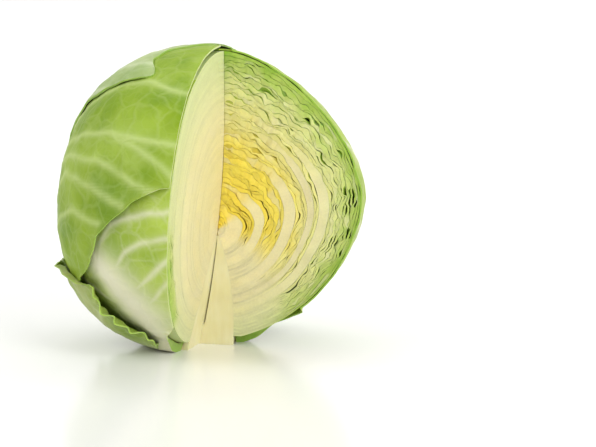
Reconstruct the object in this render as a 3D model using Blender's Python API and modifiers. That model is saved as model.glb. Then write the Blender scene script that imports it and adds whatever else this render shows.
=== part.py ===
"""A head of white cabbage with one quarter cut out.

A short tapering stalk stands in the middle. The head leaves wrap it in layers, and six
looser leaves wrap the head. Every leaf is a curved slab between two surfaces that are
layered outwards from the growing point, just above the tip of the stalk. The missing
quarter lies at +X and -Y of the head's axis, so the two cut faces meet along that axis,
which bends over a little from the stalk.
Lengths are in millimetres until a mesh is finished, and angles are in degrees.
"""
import math

import bmesh
import bpy
import numpy as np
from mathutils import Matrix

MM = 0.001

# The whole head. It is fuller on one side, and flatter above its middle on the other.
HEAD_HEIGHT = 172.0
FULL_SIDE_RADIUS = 93.0
FLAT_SIDE_RADIUS = 86.0
FLAT_SIDE_TURN = 15.0    # where round the head the flatter side is
FULL_SIDE_SQUARENESS = 2.2  # 2 makes the side view an ellipse, more makes it squarer
FLAT_SIDE_SQUARENESS = 1.6
UNDERSIDE_SQUARENESS = 2.0
FOOT_DROP = 4.0          # how far the round underside would reach below its flat foot
BEND_REACH = 16.0        # the head's axis bends over towards +X by this much
BEND_HEIGHT = 138.0      # and is upright from here on
AXIS_SHIFT = (3.0, -3.0)  # from the origin, which is on the stalk, to the foot of the axis
KEPT_ANGLE = 270.0       # of the full turn, counted from +X
OUTLINE_TOLERANCE = 1e-6

# The stalk
STALK_RADIUS = 20.0
STALK_HEIGHT = 63.0
STALK_TAPER = (1.3, 0.8)  # more of the first keeps it wide low down, less of both blunts its tip
STALK_SIDES = 28
STALK_LEVELS = 9
BUD_RADIUS = 4.5         # around the growing point, inside the first leaf
BUD_ABOVE_STALK = 3.0
SLIT_WIDTH = 1.3         # the knife went a little past the corner
SLIT_DEPTH = 4.0
SLIT_HEIGHTS = (26.0, 52.0)
CUTTER_STEP = 6.0        # a cutter follows the bend in steps of this height
CUTTER_MARGIN = 1.0

# The head leaves, counted from the middle outwards
LEAF_PAIRS = 14
LEAF_TURN = 180.0        # how far round the head each one reaches
LEAF_FILL = 0.75         # share of its layer that a leaf fills
LEAF_GAP = 0.4           # least space between one leaf and the next
BLADE_SHARE = 0.4        # layer depth away from the rib, next to the rib's 1
RIB_SPREAD = 24.0        # half width of a rib
RIB_TURNS = 75.0         # the ribs stand within this turn from a leaf's cut edge
RIB_STEP = 0.618         # of those turns, from one pair's ribs to the next pair's
RIB_STARTS = (0.15, 0.52)  # where the first rib stands, for each cut face
RIB_TAPER = 0.7          # share of its depth that a rib loses
RIB_TAPER_ROWS = (50.0, 160.0)  # between these rows
MARGIN_SHARE = 0.6       # layer depth at a leaf's hidden margin
MARGIN_TURN = 45.0       # the leaf thins over this turn to its margin
STALK_GAP = 0.4
ROW_SEARCH = 0.02        # how finely the place where a leaf leaves the stalk is looked for
ROW_NEAREST = 0.15       # a place nearer than this to a whole row moves to that row

# The wrapper leaves
WRAPPER_BLADE = 1.0
WRAPPER_STEP = 2.3       # from one wrapper level to the next one in
WRAPPER_LEVELS = 3
PETIOLE_DEPTH = 5.0
WRAPPER_CLEARANCE = 1.0  # between the wrappers and the head inside
WRAPPER_COLUMN = 12.0    # widest spacing of its columns

COLUMN = 22.5
HEAD_ROWS = (12, 30, 48, 66, 90, 114, 138, 160, 178)
WRAPPER_ROWS = (*range(12, 66, 9), *range(66, 151, 12), 164, 178)
SPREAD_ROWS = (26.0, 39.0)  # where a wrapper passes from its petiole to its own level
CROWN_ROWS = (150.0, 178.0)  # where the layers even out towards the top of the axis

# Each wrapper: its level (0 is outermost), and its two margins, as (row, left, right).
WRAPPERS = {
    "wrapper_front_low": (0, [(12, 200, 224), (39, 198, 226), (48, 188, 236), (57, 178, 234),
                              (66, 172, 222), (75, 173, 206), (79, 179, 196)]),
    "wrapper_crown": (0, [(12, 114, 142), (39, 112, 144), (48, 106, 148), (66, 96, 156),
                          (75, 92, 160), (84, 90, 168), (102, 90, 180), (120, 90, 192),
                          (133, 90, 203), (144, 90, 222), (150, 90, 234), (157, 90, 222),
                          (165, 90, 208), (178, 90, 196)]),
    "wrapper_front_high": (1, [(12, 164, 192), (39, 162, 194), (48, 153, 197), (66, 138, 200),
                               (75, 133, 209), (84, 131, 219), (102, 131, 243), (120, 131, 268),
                               (126, 131, 270), (156, 140, 270), (178, 140, 270)]),
    "wrapper_back": (1, [(12, 74, 102), (39, 72, 104), (48, 62, 113), (66, 44, 124),
                         (84, 38, 127), (102, 44, 127), (117, 62, 120)]),
    "wrapper_front_middle": (2, [(12, 232, 260), (39, 230, 262), (48, 218, 268), (57, 206, 270),
                                 (66, 196, 270), (84, 188, 270), (102, 192, 270),
                                 (120, 206, 270), (150, 226, 270)]),
    "wrapper_right": (2, [(12, 26, 54), (39, 22, 56), (48, 10, 66), (57, 0, 76), (66, 0, 86),
                          (84, 0, 106), (120, 0, 130), (156, 0, 146), (178, 0, 146)]),
}

LEAF_ROUGHNESS = 0.45
STALK_ROUGHNESS = 0.5
SHARP_ANGLE = 50.0
STALK_COLOUR = (0.86, 0.82, 0.62)
HEART_COLOUR = (0.90, 0.78, 0.36)
OUTER_COLOUR = (0.62, 0.74, 0.28)
WRAPPER_COLOUR = (0.33, 0.52, 0.10)

GROWING_POINT = STALK_HEIGHT + BUD_ABOVE_STALK
WRAP_DEPTH = WRAPPER_LEVELS * WRAPPER_STEP + WRAPPER_CLEARANCE


def smoothstep(low, high, value):
    share = min(max((value - low) / (high - low), 0.0), 1.0)
    return share * share * (3.0 - 2.0 * share)


def outline(row, turn):
    """How far the outside is from the growing point, at these angles up from below and round."""
    across, up = math.sin(math.radians(row)), -math.cos(math.radians(row))
    middle, half = (HEAD_HEIGHT - FOOT_DROP) / 2, (HEAD_HEIGHT + FOOT_DROP) / 2
    flat = (1.0 + math.cos(math.radians(turn - FLAT_SIDE_TURN))) / 2
    radius = FULL_SIDE_RADIUS + (FLAT_SIDE_RADIUS - FULL_SIDE_RADIUS) * flat
    above = FULL_SIDE_SQUARENESS + (FLAT_SIDE_SQUARENESS - FULL_SIDE_SQUARENESS) * flat
    inside, outside = 0.0, HEAD_HEIGHT + FULL_SIDE_RADIUS
    while outside - inside > OUTLINE_TOLERANCE:
        reach = (inside + outside) / 2
        height = (GROWING_POINT + reach * up - middle) / half
        power = above if height > 0 else UNDERSIDE_SQUARENESS
        beyond = (reach * across / radius) ** power + abs(height) ** power
        inside, outside = (reach, outside) if beyond < 1.0 else (inside, reach)
    return min(inside, GROWING_POINT / -up) if up < 0 else inside


def stalk_radius(height):
    """The stalk narrows towards its tip."""
    share = min(max(height / STALK_HEIGHT, 0.0), 1.0)
    return STALK_RADIUS * (1.0 - share ** STALK_TAPER[0]) ** STALK_TAPER[1]


def section_point(row, reach):
    """Distance from the axis and height of a point at this angle and reach."""
    angle = math.radians(row)
    return np.array([reach * math.sin(angle), GROWING_POINT - reach * math.cos(angle)])


def first_row(rows, skins):
    """Where along its rows a leaf comes clear of the stalk, on both of its skins."""
    last = len(rows) - 1
    for step in np.arange(0.0, last, ROW_SEARCH):
        points = [between_rows(rows, skin, step) for skin in skins]
        if all(p[0] >= stalk_radius(p[1]) + STALK_GAP for p in points):
            nearest = math.ceil(step)
            return float(nearest) if nearest - step < ROW_NEAREST else float(step)
    raise ValueError("a leaf never leaves the stalk")


def between_rows(rows, reaches, step):
    """The point on a straight run between two rows, so that all layers bend alike."""
    low = min(int(step), len(rows) - 2)
    share = step - low
    start = section_point(rows[low], reaches[low])
    end = section_point(rows[low + 1], reaches[low + 1])
    return start + (end - start) * share


def turned(point, turn):
    """A section point, swung round the axis."""
    angle = math.radians(turn)
    return (point[0] * math.cos(angle), point[0] * math.sin(angle), point[1])


def slab(inner, outer, split):
    """A closed slab between two grids of points that have the same rows and columns."""
    rows, columns = len(inner), len(inner[0])
    mesh = bmesh.new()
    bmesh.ops.create_grid(mesh, x_segments=columns - 1, y_segments=rows - 1, size=1.0)
    cells = {vert: divmod(index, columns) for index, vert in enumerate(mesh.verts)}
    corners = {tuple(vert.co): cell for vert, cell in cells.items()}
    grown = bmesh.ops.extrude_face_region(mesh, geom=mesh.faces[:], use_keep_orig=True)
    lifted = [item for item in grown["geom"] if isinstance(item, bmesh.types.BMVert)]
    for vert in lifted:
        row, column = corners[tuple(vert.co)]
        vert.co = outer[row][column]
    for vert, (row, column) in cells.items():
        vert.co = inner[row][column]
    bmesh.ops.triangulate(mesh, faces=mesh.faces[:], quad_method=split)
    bmesh.ops.recalc_face_normals(mesh, faces=mesh.faces[:])
    return mesh


def paint(piece, colour, roughness):
    """Gives a piece a material of its own."""
    material = bpy.data.materials.new(piece.name)
    material.use_nodes = True
    shader = material.node_tree.nodes["Principled BSDF"]
    shader.inputs["Base Color"].default_value = (*colour, 1.0)
    shader.inputs["Roughness"].default_value = roughness
    shader.inputs["Metallic"].default_value = 0.0
    piece.data.materials.append(material)


def bend(mesh):
    """Bends a piece with the head's axis, and turns millimetres into metres."""
    for vert in mesh.vertices:
        left = max(1.0 - vert.co.z / BEND_HEIGHT, 0.0)
        vert.co.x += BEND_REACH * (1.0 - left * left)
    mesh.transform(Matrix.Scale(MM, 4))


def add_piece(name, mesh, colour, roughness):
    """An object of the head, on its axis."""
    piece = bpy.data.objects.new(name, mesh)
    head.objects.link(piece)
    piece.parent = axis
    paint(piece, colour, roughness)
    return piece


def add_leaf(name, inner, outer, colour, split):
    """A leaf between its inner and its outer skin."""
    grid = slab(inner, outer, split)
    mesh = bpy.data.meshes.new(name)
    grid.to_mesh(mesh)
    grid.free()
    bend(mesh)
    mesh.shade_smooth()
    mesh.set_sharp_from_angle(angle=math.radians(SHARP_ANGLE))
    add_piece(name, mesh, colour, LEAF_ROUGHNESS)


def add_box(name, low, high):
    """A cutter in the shape of a box that bends with the head."""
    bpy.ops.mesh.primitive_cube_add(size=1.0)
    box = bpy.context.object
    box.name = name
    size = [high[i] - low[i] for i in range(3)]
    middle = [(high[i] + low[i]) / 2 for i in range(3)]
    box.data.transform(Matrix.Translation(middle) @ Matrix.Diagonal((*size, 1.0)))
    levels = bmesh.new()
    levels.from_mesh(box.data)
    for height in np.arange(0.0, STALK_HEIGHT, CUTTER_STEP):
        parts = levels.verts[:] + levels.edges[:] + levels.faces[:]
        bmesh.ops.bisect_plane(levels, geom=parts, plane_co=(0, 0, height), plane_no=(0, 0, 1))
    levels.to_mesh(box.data)
    levels.free()
    bend(box.data)
    box.parent = axis
    for collection in list(box.users_collection):
        collection.objects.unlink(box)
    cutters.objects.link(box)
    box.hide_render = True
    box.display_type = "WIRE"
    return box


def add_stalk():
    """A turned solid with the quarter and a knife's slit cut out of it."""
    heights = [STALK_HEIGHT * (1.0 - level / STALK_LEVELS) for level in range(STALK_LEVELS + 1)]
    profile = [(0.0, STALK_HEIGHT)] + [(stalk_radius(h), h) for h in heights[1:]] + [(0.0, 0.0)]
    mesh = bpy.data.meshes.new("stalk_profile")
    edges = [(i, i + 1) for i in range(len(profile) - 1)]
    mesh.from_pydata([(radius, 0.0, height) for radius, height in profile], edges, [])
    blank = bpy.data.objects.new("stalk_profile", mesh)
    cutters.objects.link(blank)
    turn = blank.modifiers.new("turn", "SCREW")
    turn.steps = turn.render_steps = STALK_SIDES
    turn.use_merge_vertices = True
    turn.merge_threshold = 0.0001
    bpy.context.view_layer.update()
    solid = blank.evaluated_get(bpy.context.evaluated_depsgraph_get())
    turned_mesh = bpy.data.meshes.new_from_object(solid)
    turned_mesh.name = "stalk"
    bpy.data.objects.remove(blank)
    bend(turned_mesh)
    stalk = add_piece("stalk", turned_mesh, STALK_COLOUR, STALK_ROUGHNESS)
    far = 2 * STALK_RADIUS
    top = STALK_HEIGHT + CUTTER_MARGIN
    quarter = add_box("cut_quarter", (0.0, -far, -CUTTER_MARGIN), (far, 0.0, top))
    half = SLIT_WIDTH / 2
    slit = add_box("cut_slit", (-SLIT_DEPTH, -half, SLIT_HEIGHTS[0]),
                   (CUTTER_MARGIN, half, SLIT_HEIGHTS[1]))
    for cutter in (quarter, slit):
        cut = stalk.modifiers.new(cutter.name, "BOOLEAN")
        cut.operation = "DIFFERENCE"
        cut.solver = "EXACT"
        cut.object = cutter


def rib_turn(index):
    """Where round the head a leaf's rib stands; the turns spread evenly over the leaves."""
    spread = RIB_TURNS * ((index // 2 * RIB_STEP + RIB_STARTS[index % 2]) % 1.0)
    return spread if index % 2 == 0 else KEPT_ANGLE - spread


def layer_weight(index, row, turn):
    """How deep a leaf's layer is here, next to the other leaves' layers."""
    low = 0.0 if index % 2 == 0 else KEPT_ANGLE - LEAF_TURN
    if not low <= turn <= low + LEAF_TURN:
        return 0.0
    margin = low + LEAF_TURN - turn if index % 2 == 0 else turn - low
    fade = MARGIN_SHARE + (1.0 - MARGIN_SHARE) * smoothstep(0.0, MARGIN_TURN, margin)
    taper = 1.0 - RIB_TAPER * smoothstep(*RIB_TAPER_ROWS, row)
    rib = math.exp(-((turn - rib_turn(index)) / RIB_SPREAD) ** 2) * taper
    return fade * (BLADE_SHARE + (1.0 - BLADE_SHARE) * rib)


def layer_reaches():
    """Where each layer starts and ends: one number for each layer edge, row and column."""
    leaves = 2 * LEAF_PAIRS
    turns = np.arange(0.0, KEPT_ANGLE + 1.0, COLUMN)
    weights = np.array([[[layer_weight(leaf, row, turn) for turn in turns] for row in HEAD_ROWS]
                        for leaf in range(leaves)])
    even = np.array([smoothstep(*CROWN_ROWS, row) for row in HEAD_ROWS])[None, :, None]
    weights = weights * (1.0 - even) + weights.mean(axis=2, keepdims=True) * even
    depth = np.array([[outline(row, turn) for turn in turns] for row in HEAD_ROWS])
    depth = depth - WRAP_DEPTH - BUD_RADIUS
    edges = np.cumsum(weights, axis=0) / weights.sum(axis=0, keepdims=True) * depth
    return turns, BUD_RADIUS + np.concatenate([np.zeros_like(edges[:1]), edges])


def add_head_leaves():
    """The leaves from the middle outwards, from either cut face in turn."""
    turns, edges = layer_reaches()
    for leaf in range(2 * LEAF_PAIRS):
        layer = edges[leaf + 1] - edges[leaf]
        outer = edges[leaf + 1] - LEAF_GAP / 2
        inner = outer - np.minimum(layer * LEAF_FILL, layer - LEAF_GAP)
        low = 0.0 if leaf % 2 == 0 else KEPT_ANGLE - LEAF_TURN
        columns = [i for i, turn in enumerate(turns) if low <= turn <= low + LEAF_TURN]
        skins = [skin[:, i] for i in columns for skin in (inner, outer)]
        start = first_row(HEAD_ROWS, skins)
        steps = [start] + [float(i) for i in range(len(HEAD_ROWS)) if i > start]
        grids = [[[turned(between_rows(HEAD_ROWS, skin[:, i], step), turns[i]) for i in columns]
                  for step in steps] for skin in (inner, outer)]
        share = leaf / (2 * LEAF_PAIRS - 1)
        colour = [a + (b - a) * share ** 2 for a, b in zip(HEART_COLOUR, OUTER_COLOUR)]
        add_leaf(f"head_leaf_{leaf + 1:02d}", *grids, colour, "FIXED")


def wrapper_reach(row, turn, level, inside):
    """How far a wrapper's outer or inner skin is from the growing point."""
    spread = smoothstep(*SPREAD_ROWS, row)
    depth = PETIOLE_DEPTH + (WRAPPER_BLADE - PETIOLE_DEPTH) * spread
    return outline(row, turn) - level * WRAPPER_STEP * spread - depth * inside


def add_wrapper(name, level, margins):
    """A wrapper leaf: a thick petiole on the stalk that thins into a wide curved blade."""
    rows = [row for row in WRAPPER_ROWS if row < margins[-1][0]] + [margins[-1][0]]
    foot = [[wrapper_reach(row, turn, level, inside) for row in rows]
            for turn in margins[0][1:] for inside in (0, 1)]
    start = first_row(rows, foot)
    steps = [start] + [float(i) for i in range(len(rows)) if i > start]
    angles = np.interp(steps, range(len(rows)), rows)
    left = np.interp(angles, [m[0] for m in margins], [m[1] for m in margins])
    right = np.interp(angles, [m[0] for m in margins], [m[2] for m in margins])
    columns = math.ceil(max(right - left) / WRAPPER_COLUMN) + 1
    grids = []
    for inside in (1, 0):
        grid = []
        for i, step in enumerate(steps):
            low = min(int(step), len(rows) - 2)
            pair = rows[low:low + 2]
            turns = np.linspace(left[i], right[i], columns)
            points = [between_rows(pair, [wrapper_reach(row, turn, level, inside) for row in pair],
                                   step - low) for turn in turns]
            grid.append([turned(point, turn) for point, turn in zip(points, turns)])
        grids.append(grid)
    add_leaf(name, *grids, WRAPPER_COLOUR, "SHORT_EDGE")


for old in list(bpy.data.objects):
    bpy.data.objects.remove(old)
head = bpy.data.collections.new("cabbage_head")
cutters = bpy.data.collections.new("cutters")
for made in (head, cutters):
    bpy.context.scene.collection.children.link(made)
axis = bpy.data.objects.new("head_axis", None)
axis.location = (AXIS_SHIFT[0] * MM, AXIS_SHIFT[1] * MM, 0.0)
head.objects.link(axis)

add_stalk()
add_head_leaves()
for leaf_name, (leaf_level, leaf_margins) in WRAPPERS.items():
    add_wrapper(leaf_name, leaf_level, leaf_margins)
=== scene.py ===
"""The looks of a white cabbage with one quarter cut out of it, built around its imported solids.

Lengths are in millimetres until a mesh is finished. A place on the head is a row, the angle
up from straight below the growing point, and a turn, the angle round the head from +X.
"""
import math

import bpy
import numpy as np
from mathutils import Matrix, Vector, kdtree


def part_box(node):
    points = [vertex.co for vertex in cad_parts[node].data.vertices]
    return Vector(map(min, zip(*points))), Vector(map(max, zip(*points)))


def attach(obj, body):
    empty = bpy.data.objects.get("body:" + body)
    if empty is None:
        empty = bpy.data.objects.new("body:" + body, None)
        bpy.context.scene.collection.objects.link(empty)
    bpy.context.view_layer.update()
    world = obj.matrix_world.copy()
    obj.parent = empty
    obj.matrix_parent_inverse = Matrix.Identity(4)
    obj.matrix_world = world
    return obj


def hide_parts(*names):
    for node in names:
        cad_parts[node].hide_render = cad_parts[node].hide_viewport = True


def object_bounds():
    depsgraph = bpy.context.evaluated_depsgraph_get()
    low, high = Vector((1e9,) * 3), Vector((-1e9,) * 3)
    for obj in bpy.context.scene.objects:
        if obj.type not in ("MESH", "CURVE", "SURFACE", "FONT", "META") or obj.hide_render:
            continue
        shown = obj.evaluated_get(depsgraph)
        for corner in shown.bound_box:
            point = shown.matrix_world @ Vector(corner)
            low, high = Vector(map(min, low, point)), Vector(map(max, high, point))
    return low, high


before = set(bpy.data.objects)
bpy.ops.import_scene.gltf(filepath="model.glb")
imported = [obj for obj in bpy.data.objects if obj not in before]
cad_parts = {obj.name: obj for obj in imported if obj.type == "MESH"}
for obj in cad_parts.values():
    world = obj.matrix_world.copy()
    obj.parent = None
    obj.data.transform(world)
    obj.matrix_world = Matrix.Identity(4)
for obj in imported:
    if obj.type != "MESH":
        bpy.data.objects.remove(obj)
cad_bounds = [list(corner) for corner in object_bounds()]


# ---------------------------------------------------------------------------------------
# Stalk: the short thick stem, solid white flesh that the knife went through, smooth and
# wet. It grew with the head and every leaf is joined to it. The first cut went a little too
# deep, so a thin open slit runs up the corner where the two cuts meet.
# ---------------------------------------------------------------------------------------
MM = 0.001

HEAD_HEIGHT = cad_bounds[1][2] / MM
STALK_LOW, STALK_HIGH = [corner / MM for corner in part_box("stalk")]
STALK_HEIGHT = STALK_HIGH.z
AXIS_SHIFT = (3.0, -3.0)   # where the head's axis meets the table
STALK_RADIUS = AXIS_SHIFT[0] - STALK_LOW.x
STALK_RINGS = 90
STALK_SIDES = 90
STALK_TIP = 0.992          # the rings stop just below the tip, where the cone is a point
BEND_REACH = 16.0          # the head's axis bends over towards +X by this much
BEND_HEIGHT = 138.0        # and is upright again from this height
KEPT_ANGLE = 270.0         # what is left of the full turn
SLIT_DEPTH = 4.0
SLIT_WIDTHS = (1.1, 0.5)   # at its foot and at its top
SLIT_ENDS = (10.0, 61.0)
SLIT_FADE = 6.0            # it closes over this height at either end

FLESH_CREAM = "#e5ddac"
FLESH_PALE = "#eae4ba"
FLESH_SHADE = "#ded5a0"
FLESH_STREAK = 2.2         # width of the faint fibres, which run up the stalk
FLESH_CLOUD = 16.7         # size of its paler and darker clouds
FLESH_IOR = 1.38           # wet plant tissue
FLESH_SCATTER = (1.0, 0.8, 0.25)  # red and green light go further into it than blue


def linear(code):
    """A hex colour as the linear numbers that a shader takes."""
    parts = [int(code[i:i + 2], 16) / 255 for i in (1, 3, 5)]
    return (*[part / 12.92 if part <= 0.04045 else ((part + 0.055) / 1.055) ** 2.4
              for part in parts], 1.0)


def add_node(material, kind, settings, links=()):
    """Adds a shader node. Settings are its properties and inputs; links are (input, output)."""
    node = material.node_tree.nodes.new(kind)
    for name, value in settings.items():
        if name == "stops":
            stops = node.color_ramp.elements
            while len(stops) < len(value):
                stops.new(0.5)
            for stop, (position, colour) in zip(stops, value):
                stop.position = position
                stop.color = linear(colour)
        elif isinstance(name, int) or name in node.inputs:
            node.inputs[name].default_value = value
        else:
            setattr(node, name, value)
    for name, source in links:
        material.node_tree.links.new(source, node.inputs[name])
    return node


def new_material(name, roughness, subsurface, scatter):
    """Wet plant tissue, which light goes a little way into, so that its shadows are soft."""
    material = bpy.data.materials.new(name)
    material.use_nodes = True
    shader = material.node_tree.nodes["Principled BSDF"]
    shader.inputs["Roughness"].default_value = roughness
    shader.inputs["IOR"].default_value = FLESH_IOR
    shader.inputs["Subsurface Weight"].default_value = subsurface
    shader.inputs["Subsurface Radius"].default_value = FLESH_SCATTER
    shader.inputs["Subsurface Scale"].default_value = scatter * MM
    return material, shader


def stalk_flesh():
    """Cut stem flesh: cream, with faint paler fibres along the stem and a soft wet gloss."""
    material, shader = new_material("stalk_flesh", 0.42, 0.3, 2.0)
    link = material.node_tree.links.new
    place_of = add_node(material, "ShaderNodeTexCoord", {})
    along = add_node(material, "ShaderNodeMapping", {"Scale": (1.0, 1.0, 0.12)},
                     [("Vector", place_of.outputs["Object"])])
    fibre = add_node(material, "ShaderNodeTexNoise",
                     {"Scale": 1 / (FLESH_STREAK * MM), "Detail": 4.0, "Roughness": 0.6},
                     [("Vector", along.outputs[0])])
    cloud = add_node(material, "ShaderNodeTexNoise",
                     {"Scale": 1 / (FLESH_CLOUD * MM), "Detail": 2.0},
                     [("Vector", place_of.outputs["Object"])])
    mixed = add_node(material, "ShaderNodeMath", {"operation": "MULTIPLY_ADD", 1: 0.6},
                     [(0, fibre.outputs["Fac"]), (2, cloud.outputs["Fac"])])
    tint = add_node(material, "ShaderNodeValToRGB",
                    {"stops": [(0.45, FLESH_SHADE), (0.75, FLESH_CREAM), (1.0, FLESH_PALE)]},
                    [("Fac", mixed.outputs[0])])
    link(tint.outputs["Color"], shader.inputs["Base Color"])
    bump = add_node(material, "ShaderNodeBump", {"Strength": 0.35, "Distance": 0.3 * MM},
                    [("Height", fibre.outputs["Fac"])])
    link(bump.outputs["Normal"], shader.inputs["Normal"])
    return material


def smoothstep(low, high, value):
    """Rises smoothly from 0 at low to 1 at high."""
    share = np.clip((value - low) / (high - low), 0.0, 1.0)
    return share * share * (3.0 - 2.0 * share)


def bend(points):
    """Bends points in millimetres over with the head's axis; the result is in metres."""
    left = np.maximum(1.0 - points[..., 2] / BEND_HEIGHT, 0.0)
    bent = points + np.array([*AXIS_SHIFT, 0.0])
    bent[..., 0] += BEND_REACH * (1.0 - left * left)
    return bent * MM


def stalk_radius(height):
    """The stalk is a cone with rounded sides."""
    share = np.clip(height / STALK_HEIGHT, 0.0, 1.0)
    return STALK_RADIUS * (1.0 - share ** 1.3) ** 0.8


def stalk_mesh():
    """Three quarters of a cone with a slit at the corner: rings of points up the stalk."""
    heights = np.linspace(0.0, STALK_TIP * STALK_HEIGHT, STALK_RINGS)
    turns = np.radians(np.linspace(0.0, KEPT_ANGLE, STALK_SIDES + 1))
    rings = []
    for height in heights:
        radius = float(stalk_radius(height))
        share = height / STALK_HEIGHT
        width = min(SLIT_WIDTHS[0] + (SLIT_WIDTHS[1] - SLIT_WIDTHS[0]) * share, 0.4 * radius)
        open_part = smoothstep(SLIT_ENDS[0], SLIT_ENDS[0] + SLIT_FADE, height)
        open_part *= 1.0 - smoothstep(SLIT_ENDS[1] - SLIT_FADE, SLIT_ENDS[1], height)
        depth = min(max(SLIT_DEPTH * open_part, 0.01), 0.5 * radius)
        ring = [(0.0, 0.0), (0.0, depth), (width, depth), (width, 0.0)]
        ring += [(radius * math.cos(turn), radius * math.sin(turn)) for turn in turns]
        rings.append([(across, away, height) for across, away in ring])
    count = len(rings[0])
    points = bend(np.array(rings).reshape(-1, 3))
    faces = [(level * count + i, level * count + (i + 1) % count,
              (level + 1) * count + (i + 1) % count, (level + 1) * count + i)
             for level in range(len(rings) - 1) for i in range(count)]
    faces.append(tuple(reversed(range(count))))
    faces.append(tuple(range((len(rings) - 1) * count, len(rings) * count)))
    mesh = bpy.data.meshes.new("stalk_with_slit")
    mesh.from_pydata(points.tolist(), [], faces)
    mesh.shade_smooth()
    mesh.set_sharp_from_angle(angle=math.radians(35))
    mesh.materials.append(stalk_flesh())
    return mesh


stalk = bpy.data.objects.new("stalk_with_slit", stalk_mesh())
bpy.context.scene.collection.objects.link(stalk)
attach(stalk, "root")
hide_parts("stalk")


# ---------------------------------------------------------------------------------------
# Head leaves: 28 of them, packed round the stalk in turn from two sides, each one joined to
# the stalk by a thick juicy rib and thin and crumpled beside it. Folds of the blade fill
# the spaces between the ribs. The knife left their cut edges standing on the two cut faces.
# ---------------------------------------------------------------------------------------
GROWING_POINT = STALK_HEIGHT + 3.0
HEART_RADIUS = 0.8         # around the growing point, inside the first leaf
FULL_SIDE_RADIUS = 93.0    # the head is fuller behind and to the left
FLAT_SIDE_RADIUS = 86.0
FLAT_SIDE_TURN = 15.0
FULL_SIDE_SQUARENESS = 2.2  # of its outline above the middle, where 2 is an ellipse
FLAT_SIDE_SQUARENESS = 1.6
FOOT_DROP = 4.0            # the round outline would end this far below the table
WRAP_DEPTH = 5.8           # what the wrapper leaves take up outside the head leaves

LEAF_COUNT = 28
LEAF_TURN = 180.0          # how far a leaf reaches round the head
LEAF_ROWS = (12.0, 179.92)
FOLDS = 3                  # the leaf itself, in the middle, and two folds of its blade
BLADE_WEIGHT = 0.36        # depth of a leaf's layer away from its rib, as a share
RIB_WEIGHT = 0.85          # and what a rib adds to it
FOLD_WEIGHT = 0.12         # depth of a fold's layer
FOLD_END = 60.0            # a fold lies within this turn from the cut
BLADE_DEPTH = 0.8          # thickness of a blade
BASE_DEPTH = 1.2           # a leaf's base reaches this far into the stalk
RIB_SPREAD = 24.0
# A leaf that starts at the first cut face goes round the head one way, 1.0, and one from the
# second the other way, -1.0. For the leaves of each, from the middle out: how far round from
# the cut the rib is, and how thick it is. One close to the cut shows as a broad pale band.
RIB_PLACES = {1.0: (58, 4, 50, 8, 62, 44, 3, 54, 10, 6, 46, 66, 52, 60),
              -1.0: (39, 10, 56, 27, 74, 45, 16, 62, 33, 4, 50, 22, 68, 38)}
RIB_BREADTHS = {1.0: (0.8, 0.85, 0.8, 0.5, 0.8, 0.8, 0.6, 0.8, 0.3, 0.55, 0.8, 0.8, 0.8, 0.8),
                -1.0: (0.9,) * 14}
LEAF_ROW_STEP = 0.36       # half a millimetre at the outermost leaf
LEAF_EDGE = 0.5            # spacing of a sheet's points along its cut edge
# Spacing of a leaf's points round from the cut, close only where the cut shows them.
CUT_TURNS = (0, 0.5, 1.1, 1.9, 3, 4.5, 6.5, 9, 12.5, 17, 24, 35, 52, 72, 90, 115, 150, 180)

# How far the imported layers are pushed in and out, and the size of those waves.
BROAD_WAVE = (1.3, 26.0)
CRINKLE = (2.7, 5.5)
FINE_CRINKLE = (1.3, 2.6)
CRINKLE_TURN = 18.0        # the crinkles die out over this turn from the cut
CRINKLE_STRETCH = 0.6      # they are this much narrower across a layer than along it
LEAST_LAYER = 0.25         # no layer is pressed thinner than this
POCKET_OPENING = 0.9       # how far a loose blade stands off the next one
RIM_OPENING = 1.6          # and what is added to that near the outside
SETTLING_ROUNDS = 60


chance = np.random.default_rng(5)
slopes = chance.normal(size=(32, 32, 32, 3))
slopes /= np.linalg.norm(slopes, axis=-1, keepdims=True)


def ripple(points, size, seed=0):
    """Smooth noise, mostly within -1 and 1, with lumps of this size, at an array of points."""
    cells = points / size + seed * 7.31
    corner = np.floor(cells).astype(int)
    part = cells - corner
    ease = part ** 3 * (part * (part * 6 - 15) + 10)
    total = 0.0
    for step in np.ndindex(2, 2, 2):
        slope = slopes[tuple(np.moveaxis((corner + step) % 32, -1, 0))]
        near = np.prod(np.where(step, ease, 1 - ease), axis=-1)
        total = total + near * np.sum(slope * (part - step), axis=-1)
    return total * 1.7


def outline(row, turn):
    """How far the head's outside is from the growing point."""
    across, up = np.sin(np.radians(row)), -np.cos(np.radians(row))
    middle, half = (HEAD_HEIGHT - FOOT_DROP) / 2, (HEAD_HEIGHT + FOOT_DROP) / 2
    flat = (1.0 + np.cos(np.radians(turn - FLAT_SIDE_TURN))) / 2
    radius = FULL_SIDE_RADIUS + (FLAT_SIDE_RADIUS - FULL_SIDE_RADIUS) * flat
    above = FULL_SIDE_SQUARENESS + (FLAT_SIDE_SQUARENESS - FULL_SIDE_SQUARENESS) * flat
    inside = np.zeros_like(across * flat)
    outside = inside + HEAD_HEIGHT
    for _ in range(30):
        reach = (inside + outside) / 2
        height = (GROWING_POINT + reach * up - middle) / half
        beyond = (reach * across / radius) ** np.where(height > 0, above, 2.0)
        beyond = beyond + np.abs(height) ** np.where(height > 0, above, 2.0)
        inside = np.where(beyond < 1.0, reach, inside)
        outside = np.where(beyond < 1.0, outside, reach)
    floor = GROWING_POINT / np.maximum(-up, 0.01)
    return np.where(up < 0, np.minimum(inside, floor), inside)


def place(row, turn, reach):
    """Points in millimetres before the head is bent."""
    across = reach * np.sin(np.radians(row))
    return np.stack([across * np.cos(np.radians(turn)), across * np.sin(np.radians(turn)),
                     GROWING_POINT - reach * np.cos(np.radians(row))], axis=-1)


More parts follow.
